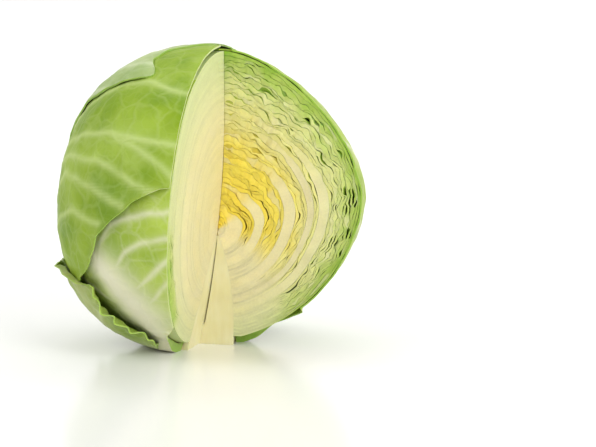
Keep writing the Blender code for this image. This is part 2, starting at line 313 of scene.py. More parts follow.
def leaf_start(leaf):
    """The turn of a leaf's cut edge, and which way it goes round the head from there."""
    return (0.0, 1.0) if leaf % 2 == 0 else (KEPT_ANGLE, -1.0)


def rib_strength(leaf, row, away):
    """How much of a rib a leaf is, this far round from its cut edge."""
    rib_away = RIB_PLACES[leaf_start(leaf)[1]][leaf // 2]
    end = 112.0 + 22.0 * ((leaf * 0.618) % 1.0)
    taper = 1.0 - 0.94 * smoothstep(end - 20.0, end + 42.0, row)
    return np.exp(-((away - rib_away) / RIB_SPREAD) ** 2) * taper


def sheet_layers(rows, turns):
    """Edges of all sheets' layers from the middle outwards, with their ribs and pockets."""
    row, turn = np.meshgrid(rows, turns, indexing="ij")
    weights, ribs, pockets = [], [], []
    for leaf in range(LEAF_COUNT):
        cut, way = leaf_start(leaf)
        away = (turn - cut) * way
        here = (away >= -0.01) & (away <= LEAF_TURN + 0.01)
        fade = 0.6 + 0.4 * smoothstep(0.0, 45.0, LEAF_TURN - away)
        rib = rib_strength(leaf, row, away)
        fold = FOLD_WEIGHT * (1.0 - smoothstep(FOLD_END * 0.5, FOLD_END, away))
        whole = BLADE_WEIGHT + RIB_WEIGHT * RIB_BREADTHS[way][leaf // 2] * rib
        for number in range(FOLDS):
            main = number == 1
            weight = whole - 2 * fold if main else fold
            spot = place(CRINKLE_STRETCH * row, turn, 5.0 + 2.6 * leaf)
            sheet = FOLDS * leaf + number
            loose = 1.0 - np.clip(1.6 * rib * main, 0.0, 1.0)
            least = 0.5 - 0.38 * (leaf / LEAF_COUNT) ** 2
            pocket = smoothstep(least, least + 0.3, ripple(spot, 5.5, 300 + sheet)) * loose
            pocket = pocket * smoothstep(55.0, 80.0, row)
            pocket = pocket * smoothstep(5.0, 16.0, (leaf + 1) * np.sin(np.radians(row)) * 3.2)
            weights.append(weight * fade * here)
            ribs.append(rib * here if main else np.zeros_like(rib))
            pockets.append(pocket)
    weights, ribs, pockets = np.array(weights), np.array(ribs), np.array(pockets)
    depth = outline(row, turn) - WRAP_DEPTH - HEART_RADIUS
    share = np.concatenate([np.zeros((1, *row.shape)), np.cumsum(weights, axis=0)])
    edges = HEART_RADIUS + share / share[-1] * depth
    calm = np.zeros_like(edges)
    calm[1:] = ribs
    calm[:-1] = np.maximum(calm[:-1], ribs)
    for _ in range(3):
        calm[1:] = np.maximum(calm[1:], 0.45 * calm[:-1])
        calm[:-1] = np.maximum(calm[:-1], 0.45 * calm[1:])
    return row, turn, weights, ribs, pockets, edges, calm


def joined_flesh(row, spot, reach):
    """Where the leaves and the stalk are one mass of solid flesh, from 0 to 1."""
    from_stalk = np.hypot(spot[..., 0], spot[..., 1]) - stalk_radius(spot[..., 2])
    low = (1.0 - smoothstep(12.0, 40.0, from_stalk)) * (1.0 - smoothstep(50.0, 96.0, row))
    heart = (1.0 - smoothstep(5.0, 13.0, reach)) * (1.0 - smoothstep(100.0, 150.0, row))
    return np.maximum(low, heart)


def crumple(row, turn, edges, calm, weights, pockets, strength):
    """Moves the layers' edges in and out and along, as one crumpled pack."""
    away = np.minimum(turn, KEPT_ANGLE - turn)
    near = np.exp(-(away / CRINKLE_TURN) ** 2)
    spot = place(row, turn, edges)
    apart = np.stack([np.zeros_like(edges), 1.1 * edges, np.zeros_like(edges)], axis=-1)
    long_spot = place(CRINKLE_STRETCH * row, turn, edges) + apart
    room = smoothstep(0.0, 14.0, edges - HEART_RADIUS + 2.0)
    room = room * (1.0 - smoothstep(-6.0, 0.0, edges - edges[-1:]))
    loose = strength * (1.0 - 0.95 * np.clip(calm * 1.3, 0, 1)) * room
    loose = loose * (1.0 - 0.97 * joined_flesh(row, spot, edges))
    fine = loose * near
    moved = edges + BROAD_WAVE[0] * np.minimum(strength, 1.0) * room * ripple(spot, BROAD_WAVE[1], 50)
    moved = moved + fine * CRINKLE[0] * ripple(long_spot, CRINKLE[1], 51)
    moved = moved + fine * FINE_CRINKLE[0] * ripple(long_spot, FINE_CRINKLE[1], 54)
    from_axis = np.hypot(spot[..., 0], spot[..., 1])
    slide = fine * (0.8 * ripple(spot, 5.0, 52) + 0.25 * ripple(spot, 2.4, 53))
    slide = slide * smoothstep(0.0, 6.0, from_axis)
    opened = POCKET_OPENING + RIM_OPENING * smoothstep(0.75, 0.95, edges[1:] / edges[-1:])
    least = (LEAST_LAYER + opened * pockets * (loose[1:] > 0.2)) * (weights > 0)
    # Where a layer is too thin, the two edges make way, a stiff one less than a loose one.
    ease = 0.02 + np.clip(loose, 0.0, 1.0)
    ease[0] = ease[-1] = 0.001
    for _ in range(SETTLING_ROUNDS):
        lack = np.maximum(least - np.diff(moved, axis=0), 0.0) / (ease[1:] + ease[:-1])
        moved[:-1] -= 0.7 * lack * ease[:-1]
        moved[1:] += 0.7 * lack * ease[1:]
    for layer in range(1, len(moved)):
        moved[layer] = np.maximum(moved[layer], moved[layer - 1] + 0.2 * least[layer - 1])
    return moved, np.degrees(slide / np.maximum(moved, 6.0))


def slab_faces(rows, columns, base):
    """A closed slab whose points are two grids, inner then outer: the faces of its inside and
    its outside, of the edges along the first and the last column, and of its foot and its tip."""
    def quads(a, b, c, d):
        return np.stack([a, b, c, d], axis=-1).reshape(-1, 4)
    inner = base + np.arange(rows * columns).reshape(rows, columns)
    outer = inner + rows * columns
    return [quads(inner[:-1, :-1], inner[:-1, 1:], inner[1:, 1:], inner[1:, :-1]),
            quads(outer[:-1, :-1], outer[1:, :-1], outer[1:, 1:], outer[:-1, 1:]),
            quads(inner[:-1, 0], inner[1:, 0], outer[1:, 0], outer[:-1, 0]),
            quads(inner[:-1, -1], outer[:-1, -1], outer[1:, -1], inner[1:, -1]),
            quads(inner[0, :-1], outer[0, :-1], outer[0, 1:], inner[0, 1:]),
            quads(inner[-1, :-1], inner[-1, 1:], outer[-1, 1:], outer[-1, :-1])]


def add_piece(name, points, faces, cut, values, materials):
    """A mesh object from arrays; cut is 1 for a face that the knife made, and otherwise 0."""
    mesh = bpy.data.meshes.new(name)
    mesh.from_pydata(points.tolist(), [], faces.tolist())
    for title, numbers in values.items():
        mesh.attributes.new(title, "FLOAT", "POINT").data.foreach_set("value", numbers)
    for material in materials:
        mesh.materials.append(material)
    mesh.polygons.foreach_set("material_index", cut.astype(np.int32))
    mesh.shade_smooth()
    mesh.set_sharp_from_angle(angle=math.radians(50))
    piece = bpy.data.objects.new(name, mesh)
    bpy.context.scene.collection.objects.link(piece)
    return piece


LEAF_PATCH = 9.0           # size of a leaf's yellower and greener patches
LEAF_GRAIN = 1.1           # and of its cells, drawn coarser than they are so that they show


def leaf_material(name, blade, rib, roughness, subsurface):
    """Cabbage leaf tissue, yellow at the heart and green outside, with its ribs cream."""
    material, shader = new_material(name, roughness, subsurface, 2.0)
    link = material.node_tree.links.new
    depth = add_node(material, "ShaderNodeAttribute", {"attribute_name": "depth"})
    ribbed = add_node(material, "ShaderNodeAttribute", {"attribute_name": "rib"})
    place_of = add_node(material, "ShaderNodeTexCoord", {})
    patch = add_node(material, "ShaderNodeTexNoise", {"Scale": 1 / (LEAF_PATCH * MM), "Detail": 3.0},
                     [("Vector", place_of.outputs["Object"])])
    shift = add_node(material, "ShaderNodeMath",
                     {"operation": "MULTIPLY_ADD", 1: 0.22, 2: -0.11},
                     [(0, patch.outputs["Fac"])])
    shifted = add_node(material, "ShaderNodeMath", {"operation": "ADD"},
                       [(0, depth.outputs["Fac"]), (1, shift.outputs[0])])
    blade_tint = add_node(material, "ShaderNodeValToRGB", {"stops": blade},
                          [("Fac", shifted.outputs[0])])
    rib_tint = add_node(material, "ShaderNodeValToRGB", {"stops": rib},
                        [("Fac", depth.outputs["Fac"])])
    tint = add_node(material, "ShaderNodeMix", {"data_type": "RGBA"},
                    [(0, ribbed.outputs["Fac"]), (6, blade_tint.outputs["Color"]),
                     (7, rib_tint.outputs["Color"])])
    grain = add_node(material, "ShaderNodeTexNoise",
                     {"Scale": 1 / (LEAF_GRAIN * MM), "Detail": 3.0},
                     [("Vector", place_of.outputs["Object"])])
    sheet_tone = add_node(material, "ShaderNodeAttribute", {"attribute_name": "tone"})
    grained = add_node(material, "ShaderNodeMath", {"operation": "MULTIPLY_ADD", 1: 0.2, 2: 0.79},
                       [(0, grain.outputs["Fac"])])
    tone = add_node(material, "ShaderNodeMath", {"operation": "MULTIPLY_ADD", 1: 0.2},
                    [(0, sheet_tone.outputs["Fac"]), (2, grained.outputs[0])])
    toned = add_node(material, "ShaderNodeMix",
                     {"data_type": "RGBA", "blend_type": "MULTIPLY", 0: 1.0},
                     [(6, tint.outputs[2]), (7, tone.outputs[0])])
    link(toned.outputs[2], shader.inputs["Base Color"])
    bump = add_node(material, "ShaderNodeBump", {"Strength": 0.3, "Distance": 0.2 * MM},
                    [("Height", grain.outputs["Fac"])])
    link(bump.outputs["Normal"], shader.inputs["Normal"])
    return material


# The leaves' own skin inside the head, seen only in the open pockets: yellow to green as the leaves are,
# and painted deeper and darker as the shade in those pockets.
leaf_skin_and_pocket_shade = leaf_material(
    "cabbage_leaf_skin_and_painted_pocket_shade",
    [(0.0, "#dcb83a"), (0.5, "#d0bb46"), (0.66, "#b5b950"), (0.8, "#86a534"), (1.0, "#5f8a18")],
    [(0.0, "#dcc888"), (0.6, "#d6cf98"), (1.0, "#b9c987")], 0.4, 0.3)
# Freshly cut leaf: brighter and wetter than the skin, whose colour also holds painted pocket shade;
# yellow at the heart, green at the rim.
leaf_cut = leaf_material(
    "cut_leaf_edge",
    [(0.0, "#f3d548"), (0.42, "#efd858"), (0.6, "#e8df8e"), (0.78, "#d6d98e"), (0.91, "#abc558"),
     (1.0, "#86b22c")],
    [(0.0, "#e9ddae"), (0.6, "#e4daaa"), (1.0, "#d4dca0")], 0.42, 0.3)

# The first cut face shows yellow, crumpled blades. The second one ran through the leaves'
# pale, smooth lower parts, and only the outermost layers there are green and crumpled.
PACKED = {1.0: 0.92, -1.0: 1.0}       # how much of its layer a packed blade fills
STRENGTH = {1.0: 1.0, -1.0: 0.15}     # how crumpled the blades are
RELIEF = {1.0: 1.0, -1.0: 0.1}        # how unevenly the knife left them
PALENESS = 0.92                       # of the blades on the second cut face
RIM_ROWS = (44.0, 56.0, 84.0, 104.0)  # the green layers start and end over these rows
RIM_DEPTHS = (0.84, 0.92)             # and over these shares of the way out


def rim_strength(row, share):
    """How much of the green, crumpled rim a place on the second cut face is."""
    rim = smoothstep(*RIM_ROWS[:2], row) * (1.0 - smoothstep(*RIM_ROWS[2:], row))
    return rim * smoothstep(*RIM_DEPTHS, share)


def sheet_sides(way, sheet, low, high, spot, limit, full, joined, hollow):
    """The inside and the outside of a sheet: a rib fills its layer, a loose blade doesn't."""
    slot = high - low
    blade = BLADE_DEPTH * (1.0 + 0.25 * ripple(spot, 6.0, 70 + sheet))
    blade = np.minimum(blade * (1.0 + 0.3 * (low + high) / 2 / limit), 0.85 * slot)
    packed = PACKED[way] * slot
    loose_blade = packed + (blade - packed) * hollow
    solid = (0.98 + 0.05 * joined) * slot
    thick = loose_blade + (solid - loose_blade) * smoothstep(0.1, 0.75, full)
    wander = np.clip(1.6 * ripple(spot, 6.5, 90 + sheet % FOLDS), -1, 1)
    drift = (slot - thick) * (0.5 + 0.5 * wander)
    return low + drift, low + drift + thick


def knife_notch(way, spot, away, full, calm):
    """How far a cut edge stands back from the cut: the knife left the soft blades uneven."""
    notch = 0.1 + 0.35 * chance.random() + 0.15 * ripple(spot, 2.5, 120)
    stiff = np.maximum(full, np.minimum(1.5 * calm, 1.0))
    notch = 0.03 + notch * (1.0 - 0.97 * stiff) * RELIEF[way]
    notch = notch * np.exp(-(away / 20.0) ** 2)
    return notch * smoothstep(0.0, 4.0, np.hypot(spot[..., 0], spot[..., 1]))


def sheet_tone(way, spot, sheet):
    """How light a sheet is: some are a little darker than others, less so on the second cut."""
    tone = np.clip(0.5 + 0.3 * chance.normal() + 0.5 * ripple(spot, 8.0, 500 + sheet), 0, 1)
    return tone if way > 0 else 0.5 + 0.4 * (tone - 0.5)


def add_head_leaves(way):
    """All the leaves that come from one of the cut faces."""
    cut = 0.0 if way > 0 else KEPT_ANGLE
    turns = cut + way * np.array(CUT_TURNS, dtype=float)
    rows = np.linspace(*LEAF_ROWS, int((LEAF_ROWS[1] - LEAF_ROWS[0]) / LEAF_ROW_STEP))
    row, turn, weights, ribs, pockets, edges, calm = sheet_layers(rows, turns)
    green_rim = np.zeros_like(edges) if way > 0 else rim_strength(row, edges / edges[-1:])
    edges, slide = crumple(row, turn, edges, calm, weights, pockets,
                           STRENGTH[way] + 0.9 * green_rim)
    away = (turn - cut) * way
    limit = outline(row, turn)
    inward = np.array([0.0, 1.0, 0.0]) if way > 0 else np.array([-1.0, 0.0, 0.0])
    for leaf in range(LEAF_COUNT):
        if leaf_start(leaf)[1] != way:
            continue
        points, faces, cuts = [], [], []
        values = {"rib": [], "depth": [], "tone": []}
        base = 0
        for sheet in range(leaf * FOLDS, (leaf + 1) * FOLDS):
            main = sheet % FOLDS == 1
            low, high = edges[sheet], edges[sheet + 1]
            middle = (low + high) / 2
            spot = place(row, turn, middle)
            joined = joined_flesh(row, spot, middle)
            full = np.clip(np.maximum(ribs[sheet] * 1.35, joined), 0.0, 1.0)
            if way > 0:
                fading = 0.55 * smoothstep(0.0, 0.5, ripple(spot, 10.0, 600 + sheet))
                pale = np.maximum(full, fading * main * smoothstep(0.12, 0.3, middle / limit))
                hollow = pockets[sheet]
            else:
                pale = np.maximum(full, PALENESS) * (1.0 - green_rim[sheet])
                hollow = pockets[sheet] * green_rim[sheet]
            sides = sheet_sides(way, sheet, low, high, spot, limit, full, joined, hollow)

            axis_gap = np.hypot(spot[..., 0], spot[..., 1]) - stalk_radius(spot[..., 2])
            first = int(np.argmax(axis_gap[:, 0] > -BASE_DEPTH))
            mean = float(np.mean(middle[first:, 0]))
            stride = max(int(LEAF_EDGE / (mean * math.radians(LEAF_ROW_STEP))), 1)
            kept = range(first, len(rows), stride)
            columns = [i for i, a in enumerate(CUT_TURNS) if main or a <= FOLD_END]
            grid = np.ix_(kept, columns)
            notch = knife_notch(way, spot[grid], away[grid], full[grid], calm[sheet][grid])
            tone = sheet_tone(way, spot, sheet)
            for reach in sides:
                at = place(row[grid] + slide[sheet][grid], turn[grid], reach[grid])
                points.append((at + notch[..., None] * inward).reshape(-1, 3))
                values["rib"].append(pale[grid].ravel())
                values["depth"].append((reach / limit)[grid].ravel())
                values["tone"].append(tone[grid].ravel())
            for group, mark in zip(slab_faces(len(kept), len(columns), base), (0, 0, 1, 0, 0, 0)):
                faces.append(group if way > 0 else group[:, ::-1])
                cuts.append(np.full(len(group), mark))
            base += 2 * len(kept) * len(columns)
        name = f"head_leaf_{leaf + 1:02d}"
        values = {title: np.concatenate(numbers) for title, numbers in values.items()}
        piece = add_piece(f"{name}_layers", bend(np.concatenate(points)), np.concatenate(faces),
                          np.concatenate(cuts), values, (leaf_skin_and_pocket_shade, leaf_cut))
        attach(piece, "root")
        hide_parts(name)


add_head_leaves(1.0)
add_head_leaves(-1.0)


# ---------------------------------------------------------------------------------------
# Wrapper leaves: six loose green outer leaves, waxy, with pale raised veins that fan out
# from a thick white rib. Each one grew from the stalk, and the others hold it in place.
# ---------------------------------------------------------------------------------------
WRAPPER_BLADE = 0.9
WRAPPER_BASE = 5.0         # thickness of its rib's foot
WRAPPER_FOOT_ROWS = (26.0, 39.0)  # where that thins to a blade
WRAPPER_STEP = 2.3         # depth from one level of leaves to the next
WRAPPER_GRID = 1.2         # spacing of a leaf's points
GRID_REACH = 85.0          # measured this far from the growing point
CUT_SPARE = 15.0           # a leaf that the knife cut is drawn this much past the cut, then cut
WRAPPER_BASE_DEPTH = 1.5   # its foot reaches this far into the stalk
MARGIN_ROUNDING = 4.0
MARGIN_CURL = 2.4          # how far a free margin lifts off the leaf below
CURL_WIDTH = 5.0
MARGIN_WAVE = (1.3, 11.0)  # how far its waves lift it, and how long they are
MARGIN_JAG = (1.3, 7.0)    # and the same for its teeth, outwards
PUCKER = (0.55, 13.0)      # and for the blade's puckers between the veins
FINE_PUCKER = (0.2, 5.0)
LEAF_WAX = 0.3             # the bloom of wax takes some of the shine away
# Where the free margins of some leaves run, thinner than their solids: (row, turn) for each.
FREE_MARGINS = {
    "wrapper_crown": [(133, 203), (143, 226), (148, 249), (152, 238), (157, 224), (165, 206)],
    "wrapper_front_high": [(66, 205), (72, 222), (77, 231), (82, 237), (86, 240), (94, 244),
                           (99, 249), (102, 255), (106, 259), (109, 265), (111, 269), (113, 272),
                           (126, 272)],
    "wrapper_front_low": [(14, 224), (28, 246), (40, 258), (55, 249), (65, 239), (76, 236)],
}
# The crown leaf's hidden margin at the back, as (row, turn).
CROWN_BACK = [(66, 97), (84, 87), (110, 79), (130, 73), (150, 76), (168, 84), (178, 90)]
CURLS = {"wrapper_crown": 0.3}  # where a leaf's curl isn't MARGIN_CURL
# The margin that lifts off, where the other one is held under the next leaf.
FREE_SIDES = {"wrapper_front_high": "right", "wrapper_front_middle": "right",
              "wrapper_back": "left", "wrapper_right": "left"}
RUFFLES = {"wrapper_front_low": 3.4}  # how much more than the others a margin is ruffled
# How many steps below the outside a leaf lies: those with a higher number are under others.
WRAPPER_LEVELS = {"wrapper_front_low": 0, "wrapper_crown": 0, "wrapper_front_high": 1,
                  "wrapper_back": 1, "wrapper_front_middle": 2, "wrapper_right": 2}

# The thick veins of each leaf: half width, then the (row, turn) places that they pass.
VEINS = {
    "wrapper_front_high": [
        (2.6, [(14, 178), (60, 180), (95, 186), (120, 196), (136, 206)]),
        (1.5, [(97, 186), (112, 196), (122, 212), (126, 236), (124, 266), (122, 276)]),
        (0.9, [(125.5, 240), (123, 252), (118, 263), (113, 272)]),
        (1.1, [(112, 197), (117, 216), (117, 228), (116, 243), (110, 258), (108, 266)]),
        (1.3, [(84, 183), (100, 200), (112, 216), (109, 236), (103, 254)]),
        (1.2, [(70, 181), (84, 196), (96, 212), (101, 228), (97, 244)]),
        (1.2, [(122, 197), (136, 214), (144, 232), (145, 250), (141, 272)]),
        (1.0, [(130, 202), (138, 190), (143, 172), (146, 150)]),
        (1.1, [(88, 184), (98, 172), (104, 156), (106, 138)]),
    ],
    "wrapper_front_middle": [
        (19.0, [(12, 252), (40, 256), (58, 255), (68, 251), (78, 244), (86, 237), (96, 227)]),
        (1.1, [(60, 256), (72, 266), (78, 272)]),
        (1.0, [(68, 251), (77, 261), (85, 269), (87, 272)]),
        (1.0, [(78, 247), (88, 253), (92, 260), (94, 272)]),
        (0.9, [(88, 240), (97, 247), (101, 256), (103, 272)]),
        (1.0, [(60, 251), (68, 236), (76, 220), (82, 200)]),
    ],
    "wrapper_crown": [
        (2.6, [(14, 128), (60, 126), (100, 132), (130, 146), (152, 176), (166, 220)]),
        (1.4, [(100, 132), (118, 156), (130, 184), (138, 212), (141, 232)]),
        (1.3, [(120, 140), (138, 166), (147, 196), (152, 228), (156, 256)]),
        (1.2, [(78, 128), (94, 146), (108, 166), (116, 190)]),
        (1.2, [(110, 137), (126, 126), (140, 110), (150, 92)]),
        (1.2, [(90, 130), (104, 118), (116, 104), (122, 92)]),
    ],
    "wrapper_front_low": [
        (4.0, [(12, 212), (40, 212), (60, 206), (76, 190)]),
        (0.9, [(40, 212), (52, 222), (60, 232)]),
        (0.9, [(46, 210), (60, 196), (68, 178)]),
    ],
    "wrapper_back": [
        (3.0, [(12, 88), (50, 86), (84, 84), (114, 90)]),
        (1.2, [(50, 86), (70, 70), (84, 50), (94, 40)]),
        (1.2, [(56, 86), (76, 100), (88, 118)]),
        (1.1, [(74, 84), (92, 68), (104, 52)]),
    ],
    "wrapper_right": [
        (4.5, [(12, 40), (50, 42), (84, 46), (110, 52), (140, 60), (168, 70)]),
        (1.3, [(58, 42), (78, 24), (92, 6), (98, -6)]),
        (1.3, [(62, 43), (82, 64), (96, 90), (104, 118)]),
        (1.2, [(84, 46), (104, 30), (120, 12), (128, -4)]),
        (1.2, [(92, 48), (114, 72), (128, 100), (136, 130)]),
        (1.1, [(112, 53), (130, 36), (146, 14)]),
    ],
}


def leaf_margins(node):
    """A leaf's rows and the turns of its two margins there, read from its solid."""
    corners = np.empty(3 * len(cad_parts[node].data.vertices))
    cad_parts[node].data.vertices.foreach_get("co", corners)
    corners = corners.reshape(-1, 3) / MM
    left = np.maximum(1.0 - corners[:, 2] / BEND_HEIGHT, 0.0)
    across = corners[:, 0] - AXIS_SHIFT[0] - BEND_REACH * (1.0 - left * left)
    away = corners[:, 1] - AXIS_SHIFT[1]
    rows = np.degrees(np.arctan2(np.hypot(across, away), GROWING_POINT - corners[:, 2]))
    turns = (np.degrees(np.arctan2(away, across)) + 45.0) % 360.0 - 45.0
    steps = np.unique(np.round(rows))
    found = [(np.round(rows) == step) for step in steps]
    lows = [turns[mask].min() for mask in found]
    highs = [turns[mask].max() for mask in found]
    return steps, np.array(lows), np.array(highs)


def softened(numbers, span):
    """A running mean that leaves the ends where they are."""
    ramp = np.hanning(2 * span + 3)[1:-1]
    padded = np.concatenate([np.full(span, numbers[0]), numbers, np.full(span, numbers[-1])])
    return np.convolve(padded, ramp / ramp.sum(), mode="valid")


WAX_WANDER = 16.0          # size of the bends in the net of veins
NET_CELLS = ((15.0, 0.10, 0.13), (5.5, 0.14, 0.05))  # cell, width of its lines, how pale they are
WAX_PATCH = 30.0           # size of the deeper and brighter green patches


def wrapper_material(name, blade, deep, bright, rib, gloss):
    """Waxy outer leaf: green between the veins, with pale veins in a fine net."""
    material, shader = new_material(name, gloss, 0.12, 1.5)
    shader.inputs["Specular IOR Level"].default_value = LEAF_WAX
    link = material.node_tree.links.new
    vein = add_node(material, "ShaderNodeAttribute", {"attribute_name": "vein"})
    halo = add_node(material, "ShaderNodeAttribute", {"attribute_name": "halo"})
    place_of = add_node(material, "ShaderNodeTexCoord", {})
    wander = add_node(material, "ShaderNodeTexNoise", {"Scale": 1 / (WAX_WANDER * MM), "Detail": 2.0},
                      [("Vector", place_of.outputs["Object"])])
    warped = add_node(material, "ShaderNodeMix", {"data_type": "VECTOR", 0: 0.012},
                      [(4, place_of.outputs["Object"]), (5, wander.outputs["Color"])])
    nets = []
    for cell, sharp, _ in NET_CELLS:
        net = add_node(material, "ShaderNodeTexVoronoi",
                       {"feature": "DISTANCE_TO_EDGE", "Scale": 1 / (cell * MM)},
                       [("Vector", warped.outputs[1])])
        line = add_node(material, "ShaderNodeMapRange",
                        {"interpolation_type": "SMOOTHSTEP", "From Min": 0.0, "From Max": sharp,
                         "To Min": 1.0, "To Max": 0.0}, [("Value", net.outputs["Distance"])])
        nets.append(line)
    patch = add_node(material, "ShaderNodeTexNoise",
                     {"Scale": 1 / (WAX_PATCH * MM), "Detail": 4.0},
                     [("Vector", place_of.outputs["Object"])])
    ground = add_node(material, "ShaderNodeValToRGB",
                      {"stops": [(0.32, deep), (0.5, blade), (0.68, bright)]},
                      [("Fac", patch.outputs["Fac"])])
    netted = ground.outputs["Color"]
    for line, (_, _, part) in zip(nets, NET_CELLS):
        scale = add_node(material, "ShaderNodeMath", {"operation": "MULTIPLY", 1: part},
                         [(0, line.outputs["Result"])])
        mixed = add_node(material, "ShaderNodeMix", {"data_type": "RGBA", 7: linear(rib)},
                         [(0, scale.outputs[0]), (6, netted)])
        netted = mixed.outputs[2]
    glow = add_node(material, "ShaderNodeMath", {"operation": "MULTIPLY", 1: 0.38},
                    [(0, halo.outputs["Fac"])])
    haloed = add_node(material, "ShaderNodeMix", {"data_type": "RGBA", 7: linear(rib)},
                      [(0, glow.outputs[0]), (6, netted)])
    veined = add_node(material, "ShaderNodeMix", {"data_type": "RGBA", 7: linear(rib)},
                      [(0, vein.outputs["Fac"]), (6, haloed.outputs[2])])
    link(veined.outputs[2], shader.inputs["Base Color"])
    height = add_node(material, "ShaderNodeMath", {"operation": "MULTIPLY_ADD", 1: 0.4},
                      [(0, nets[1].outputs["Result"]), (2, nets[0].outputs["Result"])])
    bump = add_node(material, "ShaderNodeBump", {"Strength": 0.25, "Distance": 0.5 * MM},
                    [("Height", height.outputs[0])])
    link(bump.outputs["Normal"], shader.inputs["Normal"])
    return material


# The same waxy leaf in four greens: deep green in full light, greyer where the wax is thick,
# light green nearer to the heart, and duller low down.
leaf_green = wrapper_material("waxy_green_leaf", "#839f1c", "#698c04", "#93ae30", "#c0d084", 0.48)
leaf_grey = wrapper_material("waxy_grey_green_leaf", "#98ad68", "#84a052", "#b0bf88", "#cdd7ae", 0.5)
leaf_bright = wrapper_material("waxy_light_green_leaf", "#9eb736", "#86a41e", "#aec644", "#e2e0c2",
                               0.46)
leaf_dull = wrapper_material("waxy_dull_green_leaf", "#93a84a", "#7c9636", "#a6b268", "#ccd4a2", 0.48)
WRAPPER_LOOKS = {"wrapper_front_high": leaf_green, "wrapper_crown": leaf_grey,
                 "wrapper_front_middle": leaf_bright, "wrapper_front_low": leaf_dull,
                 "wrapper_back": leaf_green, "wrapper_right": leaf_bright}


def vein_field(name, spots):
    """How raised each point of a leaf is by its veins, and how pale they make it."""
    raised, vein, halo = [np.zeros(spots.shape[:-1]) for _ in range(3)]
    for width, route in VEINS[name]:
        route = np.array(route, dtype=float)
        steps = np.linspace(0, len(route) - 1, 40 * len(route))
        rows, turns = [softened(np.interp(steps, range(len(route)), places), 14)
                       for places in route.T]
        marks = place(rows, turns, outline(rows, turns))
        marks = marks + 1.2 * np.stack([ripple(marks, 12.0, 400 + i) for i in range(3)], axis=-1)
        tree = kdtree.KDTree(len(marks))
        for index, mark in enumerate(marks):
            tree.insert(mark, index)
        tree.balance()
        found = [tree.find(spot) for spot in spots.reshape(-1, 3)]
        far = np.array([item[2] for item in found]).reshape(vein.shape)
        along = np.array([item[1] for item in found]).reshape(vein.shape) / len(marks)
        wide = np.maximum(width * (1.0 - 0.6 * along), 1.8)
        near = np.exp(-(far / wide) ** 2)
        raised = np.maximum(raised, np.minimum(0.22 * wide, 1.2) * near)
        vein = np.maximum(vein, near * min(0.45 + 0.12 * width, 1.0))
        halo = np.maximum(halo, np.exp(-far / (3.0 + wide)) * min(0.35 + 0.2 * width, 1.0))
    return raised, vein, halo


def wrapper_margins(name):
    """The rows of a wrapper leaf, its last row, and the turns of its left and right margin."""
    steps, lows, highs = leaf_margins(name)
    last_row = steps[-1]
    rows = np.arange(steps[0], last_row + 0.01, math.degrees(WRAPPER_GRID / GRID_REACH))
    span = int(MARGIN_ROUNDING / (rows[1] - rows[0]))
    if name in FREE_MARGINS:
        steps, lows, highs = [np.interp(rows, steps, turns) for turns in (steps, lows, highs)]
        free_rows, free_turns = zip(*FREE_MARGINS[name])
        free = (rows >= free_rows[0]) & (rows <= free_rows[-1])
        highs = np.where(free, np.interp(rows, free_rows, free_turns), highs)
    if name == "wrapper_crown":
        back_rows, back_turns = zip(*CROWN_BACK)
        lows = np.where(rows >= back_rows[0], np.interp(rows, back_rows, back_turns), lows)
    lows = np.where(lows < 0.5, -CUT_SPARE, lows)
    highs = np.where(highs > KEPT_ANGLE - 0.5, KEPT_ANGLE + CUT_SPARE, highs)
    left = np.maximum(softened(np.interp(rows, steps, lows), span), 0.0)
    right = np.minimum(softened(np.interp(rows, steps, highs), span), KEPT_ANGLE)
    return rows, last_row, left[:, None], right[:, None]


def margin_lift(name, row, spot, from_free):
    """How far a leaf's free margin curls and waves off the leaf below."""
    level = WRAPPER_LEVELS[name]
    curl = CURLS.get(name, MARGIN_CURL)
    ruffle = RUFFLES.get(name, 0.0)
    flat = 1.0 - 0.9 * smoothstep(150.0, 166.0, row)
    waves = MARGIN_WAVE[0] * np.exp(-from_free / 9.0) * ripple(spot, MARGIN_WAVE[1], 210 + level)
    ruffles = ruffle * np.exp(-from_free / 8.0) * ripple(spot, 6.0, 230 + level)
    return flat * (curl * np.exp(-from_free / CURL_WIDTH) + waves + ruffles)


def crown_drop(row, from_left, from_right):
    """The crown leaf lies close on the head: how far its margins are pressed down."""
    front = 0.9 * smoothstep(80.0, 100.0, row) + 0.4 * smoothstep(140.0, 156.0, row)
    back = 2.3 * smoothstep(118.0, 132.0, row)
    return front * np.exp(-from_right / 9.0) + back * np.exp(-from_left / 9.0)


